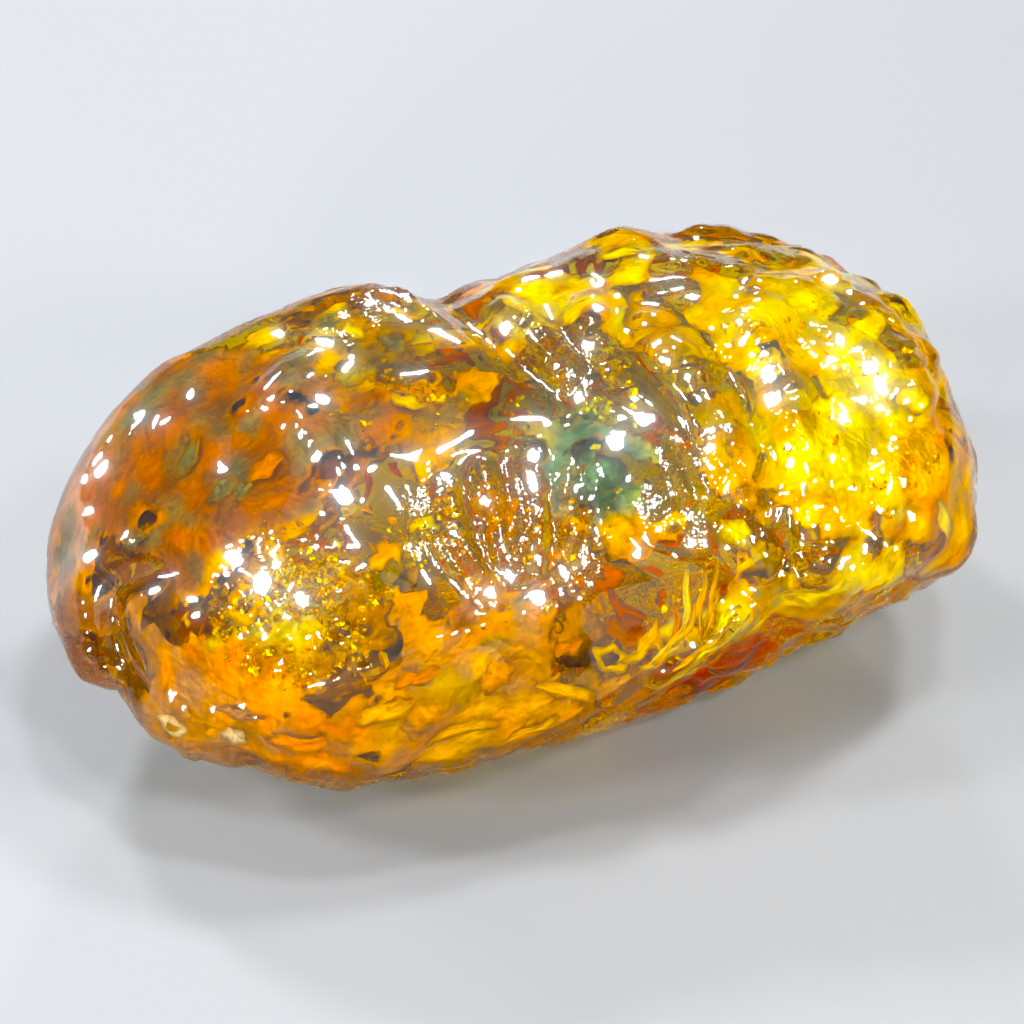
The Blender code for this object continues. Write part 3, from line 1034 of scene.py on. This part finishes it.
@dataclass
class Inclusions:
    """What lies inside the resin: crinkled films at several depths, and gold flecks."""

    nugget: Nugget
    skin: Skin
    films: tuple[Film, ...] = (
        Film("near_films", 0.8, 0.34, 3, -0.36, 21),
        Film("deep_films", 2.0, 0.42, 8, -0.26, 22),
    )
    regions: tuple[Region, ...] = (
        # The window at the upper left and the left end, whose milk tone is brown resin colour paled by a
        # painted milky reflection
        Region((130, 480), 5.5, 1.6, (MILK_AND_PAINTED_REFLECTION, MILK_AND_PAINTED_REFLECTION, RUST, MOSS)),
        Region((250, 445), 5.5, 1.6, (MILK_AND_PAINTED_REFLECTION, MILK_AND_PAINTED_REFLECTION, MOSS, RUST)),
        Region((290, 365), 3.0, 0.9, (RUST, MOSS, MILK_AND_PAINTED_REFLECTION, HONEY)),
        Region((380, 335), 4, 0.7, (LEMON, GOLD, GOLD, MOSS)),
        Region((90, 590), 4, 0.7, (HAZE_AND_PAINTED_REFLECTION, RUST, MILK_AND_PAINTED_REFLECTION, RUST)),
        # The hollow and the torn pocket
        Region((290, 605), 4.2, 1.0, (GOLD, LEMON, GOLD, LEMON)),
        Region((420, 540), 4, 0.5, (GOLD, GOLD, UMBER, LEMON)),
        Region((438, 515), 1.5, 1.3, (LIME, LEMON, LIME, GOLD)),
        Region((520, 520), 4, 0.6, (UMBER, GOLD, HONEY, GOLD)),
        # The front, whose veil tone is orange-brown resin colour paled by a painted milky reflection
        Region((300, 720), 6, 1.15, (HAZE_AND_PAINTED_REFLECTION, HONEY, HAZE_AND_PAINTED_REFLECTION, ORANGE)),
        Region((390, 600), 2.6, 1.0, (GOLD, HONEY, GOLD, ORANGE)),
        Region((450, 725), 6, 1.15, (HAZE_AND_PAINTED_REFLECTION, GOLD, HAZE_AND_PAINTED_REFLECTION, HONEY)),
        Region((330, 772), 2.6, 1.2, (ORANGE, ORANGE, GOLD, ORANGE)),
        Region((430, 650), 5, 1.05, (HONEY, HAZE_AND_PAINTED_REFLECTION, MOSS, HAZE_AND_PAINTED_REFLECTION)),
        Region((600, 650), 4, 0.9, (MOSS, HONEY, HAZE_AND_PAINTED_REFLECTION, HAZE_AND_PAINTED_REFLECTION)),
        Region((665, 560), 2.2, 0.9, (GOLD, ORANGE, GOLD, HONEY)),
        Region((690, 620), 3.5, 0.9, (LEMON, LEMON, GOLD, LEMON)),
        Region((690, 690), 3.4, 0.9, (BLOOD, RUST, BLOOD, ORANGE)),
        # Between the lobes
        Region((595, 450), 3.8, 1.1, (TEAL, TEAL, MOSS, TEAL)),
        Region((480, 385), 4, 0.75, (MOSS, HONEY, GOLD, HONEY)),
        Region((450, 335), 2.6, 0.95, (GOLD, LEMON, HONEY, GOLD)),
        Region((540, 300), 4, 0.9, (LEMON, GOLD, LEMON, GOLD)),
        Region((640, 280), 5, 0.95, (LEMON, GOLD, HONEY, LEMON)),
        Region((660, 390), 4, 0.45, (MOSS, HONEY, GOLD, TEAL)),
        Region((720, 480), 4, 0.6, (HONEY, GOLD, UMBER, LEMON)),
        # The narrower lobe
        Region((740, 300), 4, 0.95, (LEMON, GOLD, LEMON, GOLD)),
        Region((840, 300), 5, 1.1, (LEMON, LEMON, GOLD, LEMON)),
        Region((850, 430), 6, 1.4, (LEMON, GOLD, LEMON, LEMON)),
        Region((820, 530), 4, 0.95, (GOLD, LEMON, GOLD, HONEY)),
        Region((940, 480), 4.0, 1.1, (GOLD, ORANGE, GOLD, GOLD)),
    )
    elsewhere: tuple[Colour, ...] = (HONEY, GOLD, ORANGE, GOLD)
    resin: Colour = (0.56, 0.25, 0.04)
    beds: tuple[Bed, ...] = (
        Bed((290, 610), 3.6, (0.06, 0.6), 760, (0.06, 0.32)),
        Bed((300, 590), 1.8, (0.06, 0.3), 220, (0.08, 0.4)),
        Bed((520, 530), 3.2, (0.15, 1.0), 200, (0.08, 0.26)),
        Bed((430, 530), 1.6, (0.1, 0.6), 200, (0.06, 0.22)),
        Bed((840, 400), 6.5, (0.2, 0.7), 150, (0.08, 0.32)),
        Bed((620, 330), 6.5, (0.3, 2.0), 300, (0.1, 0.35)),
        Bed((700, 620), 2.6, (0.3, 1.2), 90, (0.1, 0.3)),
        Bed((400, 395), 2.2, (0.25, 1.0), 120, (0.1, 0.3)),
    )
    leaves: tuple[Leaf, ...] = (
        # The oval and the green flakes under the window
        Leaf((246, 478), (280, 452), 0.62, HONEY), Leaf((172, 474), (196, 440), 0.6, MOSS),
        Leaf((206, 504), (232, 470), 0.55, MOSS), Leaf((232, 500), (246, 474), 0.4, MOSS),
        Leaf((120, 545), (142, 535), 0.35, MOSS),
        # The curl in the hollow and the pale flakes below it
        Leaf((222, 618), (262, 588), 0.75, GOLD, 0.3, 0.45),
        Leaf((158, 716), (184, 740), 0.55, CREAM, 0.3, 0.4),
        Leaf((222, 730), (242, 748), 0.5, CREAM, 0.3),
        # The loop and the yellow tongues over the sharp edge
        Leaf((594, 662), (630, 660), 0.7, GOLD, 0.3, 0.5), Leaf((628, 668), (662, 628), 0.34, GOLD, 0.3),
        Leaf((640, 676), (684, 640), 0.2, LEMON, 0.35), Leaf((655, 670), (700, 610), 0.22, GOLD, 0.3),
        Leaf((668, 680), (738, 628), 0.2, GOLD, 0.35), Leaf((684, 650), (690, 562), 0.16, LEMON, 0.3),
        Leaf((694, 646), (706, 572), 0.16, GOLD, 0.36), Leaf((700, 640), (722, 585), 0.2, GOLD, 0.4),
        Leaf((708, 640), (742, 600), 0.2, LEMON, 0.3), Leaf((640, 640), (668, 650), 0.26, GOLD, 0.5),
        Leaf((660, 692), (716, 664), 0.18, GOLD, 0.3), Leaf((676, 660), (678, 600), 0.15, ORANGE, 0.42),
        Leaf((690, 668), (752, 612), 0.16, LEMON, 0.28), Leaf((712, 620), (716, 560), 0.15, GOLD, 0.34),
        Leaf((540, 690), (600, 700), 0.4, GOLD, 0.4), Leaf((262, 742), (330, 752), 0.5, ORANGE, 0.4),
        Leaf((350, 730), (420, 705), 0.45, GOLD, 0.5), Leaf((430, 742), (500, 724), 0.45, GOLD, 0.5),
        Leaf((395, 690), (440, 672), 0.4, ORANGE, 0.45), Leaf((480, 690), (515, 668), 0.7, HONEY, 0.5),
        # The veil and milk tones of these flakes carry a painted milky reflection
        Leaf((505, 745), (560, 722), 0.3, GOLD, 0.4), Leaf((215, 712), (262, 725), 0.3, HAZE_AND_PAINTED_REFLECTION, 0.4),
        Leaf((560, 660), (585, 640), 0.4, ORANGE, 0.5), Leaf((450, 622), (482, 598), 0.6, MILK_AND_PAINTED_REFLECTION, 0.5),
        # The bead at the right and the tongues by the notch
        Leaf((898, 404), (934, 396), 0.8, LEMON, 0.35), Leaf((940, 500), (955, 540), 0.5, LEMON, 0.4),
        Leaf((715, 520), (760, 545), 0.6, LEMON, 0.4), Leaf((500, 290), (540, 318), 0.5, LEMON, 0.35),
        Leaf((590, 255), (650, 250), 0.4, LEMON, 0.35), Leaf((385, 330), (400, 350), 0.5, MOSS, 0.5),
        Leaf((345, 320), (358, 335), 0.45, LEMON, 0.35), Leaf((390, 395), (425, 405), 0.4, LEMON, 0.35),
    )
    # The films: their crinkles as a share of their depth, the sizes of crinkles, tones, patches and
    # mottles, how dark the mottles are, how far the tones soften and the rims fade, and the cover
    # and the pull of the resin that no region reaches
    thickness: float = 0.05
    clearance: float = 0.15
    crinkle: float = 0.35
    crinkle_size: float = 2.2
    tone_size: float = 1.4
    patch_size: float = 2.4
    mottle_size: float = 0.9
    mottling: float = 0.4
    softening: int = 2
    fading: float = 0.3
    other_cover: float = 0.5
    other_pull: float = 0.15
    # The flecks: how many a clump has, how loose it is, their sides, half thickness, tilt and lean
    clump: int = 9
    loose: float = 0.4
    fleck_sides: int = 6
    fleck_half: float = 0.02
    fleck_tilt: float = 0.8
    fleck_lean: float = 0.2
    # The leaves: their sides, their rims' mean, long and short waves, their rims' half thickness,
    # how deep they ripple, how far they bow and swerve, and how strong their tones are by ring
    leaf_sides: int = 22
    leaf_rim: tuple[float, float, float] = (0.94, 0.14, 0.09)
    leaf_edge: float = 0.004
    leaf_ripple: float = 0.12
    leaf_bow: float = 0.25
    leaf_swerve: float = 0.08
    leaf_tone: tuple[float, float, float] = (1.0, 0.9, 0.3)

    def averaged(self, values: np.ndarray, edges: np.ndarray) -> np.ndarray:
        """Each row's mean with the rows that it has an edge to.

        Args:
            values: The rows.
            edges: The pairs of rows that have an edge.

        Returns:
            The means, one row each.
        """
        total = values.copy()
        count = np.ones(len(values))
        for near, far in (edges.T, edges.T[::-1]):
            np.add.at(total, near, values[far])
            np.add.at(count, near, 1)
        return total / count[:, None]

    def depth_inside(self, points: np.ndarray) -> np.ndarray:
        """How deep under the skin each point is.

        Args:
            points: The points, one row each.

        Returns:
            The depths.
        """
        depths = []
        for point in points:
            on_skin, out, _, _ = self.skin.tree.find_nearest(Vector(point))
            depths.append((on_skin - Vector(point)).dot(out))
        return np.array(depths)

    def film(self, film: Film) -> bpy.types.Object:
        """Makes one layer of films.

        Args:
            film: The layer.

        Returns:
            Its object.
        """
        mesh = self.nugget.fine(film.voxel, film.smoothing)
        layer = Skin(mesh, self.skin.view)
        pattern = Pattern(film.seed)
        ragged = pattern.warped(layer.points, 1.5, 1.2)
        crinkle = self.crinkle * film.depth * pattern.clouds(layer.points, self.crinkle_size, 2)
        layer.lift(-film.depth + crinkle)
        spots = layer.points
        weights = [self.other_pull * np.ones(len(spots))]
        for region in self.regions:
            apart = np.linalg.norm(ragged - np.array(self.skin.touch(region.pixel)[0]), axis=1)
            weights.append(np.exp(-((apart / region.radius) ** 2)))
        nearest = np.argmax(np.array(weights), axis=0)
        covers = np.array([self.other_cover] + [region.cover for region in self.regions])
        palettes = np.array([self.elsewhere] + [region.tones for region in self.regions])
        _, _, own = pattern.cells(pattern.warped(spots, 1.6, 1.1), self.tone_size)
        tones = palettes[nearest, own % 4] * (0.8 + 0.35 * (own % 7) / 6)[:, None]
        edges = np.empty(len(mesh.edges) * 2, int)
        mesh.edges.foreach_get("vertices", edges)
        for _ in range(self.softening):
            tones = self.averaged(tones, edges.reshape(-1, 2))
        level = pattern.clouds(pattern.warped(spots, 2.0, 1.0), self.patch_size, 4)
        level += 1.3 * (covers[nearest] + film.cover - 0.5)
        inside = self.depth_inside(spots)
        level = np.minimum(level, 4 * (inside - self.clearance - self.thickness))
        faded = smooth(level, 0.0, self.fading)[:, None]
        tones = np.array(self.resin) * (1 - faded) + tones * faded
        mottled = pattern.clouds(pattern.warped(spots, 0.8, 0.3), self.mottle_size, 3)
        tones *= 1 - self.mottling * smooth(mottled, -0.3, 0.35)[:, None]
        faces = []
        for face in mesh.polygons:
            corners = tuple(face.vertices)
            faces += [(corners[0], corners[k], corners[k + 1]) for k in range(1, len(corners) - 1)]
        return self.cut(film.name, spots, layer.normals, tones, level, faces)

    def cut(
        self,
        name: str,
        spots: np.ndarray,
        normals: np.ndarray,
        tones: np.ndarray,
        level: np.ndarray,
        faces: Sequence[tuple[int, int, int]],
    ) -> bpy.types.Object:
        """Keeps a sheet where its level is above 0, as thin closed films with fine rims.

        Args:
            name: The piece's name.
            spots: The sheet's points.
            normals: Their normals.
            tones: Their colours.
            level: Their levels.
            faces: The sheet's triangles.

        Returns:
            The piece.
        """
        points: list[np.ndarray] = []
        colours: list[np.ndarray] = []
        sides: dict[int, tuple[int, int]] = {}
        rims: dict[tuple[int, int], int] = {}

        def added(point: np.ndarray, colour: np.ndarray) -> int:
            """Adds a point.

            Args:
                point: Its place.
                colour: Its tone.

            Returns:
                Its number.
            """
            points.append(point)
            colours.append(colour)
            return len(points) - 1

        def side(i: int) -> tuple[int, int]:
            """The film's two sides at a point of the sheet.

            Args:
                i: The point's number.

            Returns:
                The numbers of the film's points there.
            """
            if i not in sides:
                half = normals[i] * (self.thickness / 2 * min(1.0, 3 * level[i] + 0.1))
                sides[i] = (added(spots[i] + half, tones[i]), added(spots[i] - half, tones[i]))
            return sides[i]

        def rim(i: int, j: int) -> tuple[int, int]:
            """The film's rim between two points of the sheet.

            Args:
                i: The first point's number.
                j: The second point's number.

            Returns:
                The number of the film's point there, twice.
            """
            key = (min(i, j), max(i, j))
            if key not in rims:
                t = level[key[0]] / (level[key[0]] - level[key[1]])
                place = spots[key[0]] + t * (spots[key[1]] - spots[key[0]])
                colour = tones[key[0]] + t * (tones[key[1]] - tones[key[0]])
                rims[key] = added(place, colour)
            return rims[key], rims[key]

        kept = level > 0
        made = []
        for face in faces:
            if not kept[list(face)].any():
                continue
            ring = []
            for i, j in zip(face, face[1:] + face[:1]):
                if kept[i]:
                    ring.append(side(i))
                if kept[i] != kept[j]:
                    ring.append(rim(i, j))
            for k in range(1, len(ring) - 1):
                made.append((ring[0][0], ring[k][0], ring[k + 1][0]))
                made.append((ring[0][1], ring[k + 1][1], ring[k][1]))
        return self.placed(name, points, made, colours)

    def placed(
        self, name: str, points: Sequence[Any], faces: Sequence[tuple[int, ...]], tones: Sequence[Any] = ()
    ) -> bpy.types.Object:
        """Puts a piece of its own inside the nugget, smooth where it has tones.

        Args:
            name: The piece's name.
            points: Its points, in millimetres.
            faces: Its faces.
            tones: A tone for each point, or none.

        Returns:
            The piece.
        """
        mesh = bpy.data.meshes.new(name)
        mesh.from_pydata([point * MM for point in points], (), faces)
        if tones:
            layer = mesh.color_attributes.new("tone", "FLOAT_COLOR", "POINT")
            rows = np.column_stack((np.array(tones), np.ones(len(tones))))
            layer.data.foreach_set("color", rows.astype(np.float32).ravel())
            mesh.shade_smooth()
        piece = shown(name, mesh)
        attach(piece, "root")
        LOG.info("%s: %d faces", name, len(mesh.polygons))
        return piece

    def flecks(self, seed: int) -> bpy.types.Object:
        """Makes the gold flecks.

        Args:
            seed: The draw of their places.

        Returns:
            The piece.
        """
        rng = random.Random(seed)
        points: list[Vector] = []
        faces: list[tuple[int, int, int]] = []
        for bed in self.beds:
            spot, normal = self.skin.touch(bed.pixel)
            across = normal.orthogonal().normalized()
            for number in range(bed.count):
                if number % self.clump == 0:
                    reach = bed.spread * math.sqrt(rng.random())
                    middle = Matrix.Rotation(rng.uniform(0, math.tau), 3, normal) @ across * reach
                beside = middle + scattered(rng) * self.loose
                on_skin, out, _, _ = self.skin.tree.find_nearest(spot + beside)
                size = bed.size[0] + (bed.size[1] - bed.size[0]) * rng.random() ** 2
                centre = on_skin - out * (rng.uniform(*bed.depth) + size)
                facing = (out + scattered(rng) * self.fleck_tilt).normalized()
                side = facing.orthogonal().normalized()
                up = facing.cross(side)
                start = len(points)
                points += [centre + facing * self.fleck_half, centre - facing * self.fleck_half]
                for k in range(self.fleck_sides):
                    angle = math.tau * k / self.fleck_sides
                    length = size * rng.uniform(0.55, 1.0)
                    lean = facing * rng.uniform(-self.fleck_lean, self.fleck_lean) * size
                    points.append(centre + (side * math.cos(angle) + up * math.sin(angle)) * length + lean)
                    near, far = start + 2 + k, start + 2 + (k + 1) % self.fleck_sides
                    faces += [(start, near, far), (start + 1, far, near)]
        return self.placed("gold_flecks", points, faces)

    def leaf(self, leaf: Leaf, rng: random.Random) -> tuple[list[Vector], list[tuple[int, ...]]]:
        """Shapes one flake that follows the skin.

        Args:
            leaf: The flake.
            rng: The draw of its ragged rim.

        Returns:
            Its points and its faces.
        """
        steps = self.leaf_sides
        rings = (leaf.hole, 0.5 * (1 + leaf.hole), 1.0)
        first, _ = self.skin.touch(leaf.start)
        last, _ = self.skin.touch(leaf.end)
        middle = (first + last) / 2
        ahead = (last - first) / 2
        _, out, _, _ = self.skin.tree.find_nearest(middle)
        aside = out.cross(ahead).normalized() * leaf.width
        first_wave, second_wave = rng.uniform(0, math.tau), rng.uniform(0, math.tau)
        bow = rng.uniform(-self.leaf_bow, self.leaf_bow) * ahead.length
        mean, long, short = self.leaf_rim
        points: list[Vector] = []
        for ring, share in enumerate(rings):
            for k in range(steps):
                angle = math.tau * k / steps
                waves = long * math.sin(2 * angle + first_wave) + short * math.sin(5 * angle + second_wave)
                reach = share * (mean + waves)
                length = math.cos(angle) * reach
                swerve = bow * length**2 + self.leaf_swerve * math.sin(5 * length + second_wave)
                place = middle + ahead * length + aside * (math.sin(angle) * reach + swerve / leaf.width)
                on_skin, facing, _, _ = self.skin.tree.find_nearest(place)
                ripple = self.leaf_ripple * share * math.sin(3 * angle + share)
                under = on_skin - facing * (leaf.depth + ripple)
                half = facing * (self.thickness / 2 if ring == 1 else self.leaf_edge)
                points += [under + half, under - half]
        faces: list[tuple[int, ...]] = []
        for ring in range(2):
            for k in range(steps):
                a = 2 * (ring * steps + k)
                b = 2 * (ring * steps + (k + 1) % steps)
                c, d = a + 2 * steps, b + 2 * steps
                faces += [(a, c, d, b), (a + 1, b + 1, d + 1, c + 1)]
        for k in range(steps):
            j = (k + 1) % steps
            outer, beside = 2 * (2 * steps + k), 2 * (2 * steps + j)
            faces.append((outer, outer + 1, beside + 1, beside))
            faces.append((2 * k, 2 * j, 2 * j + 1, 2 * k + 1))
        return points, faces

    def faded_tones(self, leaf: Leaf, count: int, rng: random.Random) -> list[Colour]:
        """A flake's tones: mottled, and faded into the resin at its rim.

        Args:
            leaf: The flake.
            count: How many points it has, from its middle to its rim.
            rng: The draw of the mottling.

        Returns:
            A tone for each point.
        """
        tones = []
        for k in range(0, count, 2):
            own = self.leaf_tone[3 * k // count]
            shade = rng.uniform(0.7, 1.0)
            tone = tuple(shade * (own * a + (1 - own) * b) for a, b in zip(leaf.tone, self.resin))
            tones += [tone, tone]
        return tones

    def named(self, seed: int) -> bpy.types.Object:
        """Makes the flakes that the photograph shows clearly.

        Args:
            seed: The draw of their ragged rims.

        Returns:
            The piece.
        """
        rng = random.Random(seed)
        points: list[Vector] = []
        faces: list[tuple[int, ...]] = []
        tones: list[Colour] = []
        for leaf in self.leaves:
            made, sides = self.leaf(leaf, rng)
            faces += [tuple(len(points) + corner for corner in side) for side in sides]
            points += made
            tones += self.faded_tones(leaf, len(made), rng)
        return self.placed("named_flakes", points, faces, tones)

    def build(self) -> None:
        """Makes the films and the flecks."""
        finish = FlakeFinish().material()
        self.named(13).data.materials.append(finish)
        for film in self.films:
            self.film(film).data.materials.append(finish)
        self.flecks(12).data.materials.append(GOLD_FLECKS.material())


def main() -> None:
    """Builds the studio, the nugget and what lies inside it, in order."""
    logging.basicConfig(level=logging.INFO, format="%(message)s")
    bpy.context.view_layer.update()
    studio = Studio()
    studio.build()
    nugget = Nugget(lamps=tuple(lamp for lamp in studio.lamps if lamp.name.startswith("glint")))
    skin = nugget.build()
    Inclusions(nugget, skin).build()


if __name__ == "__main__":
    main()
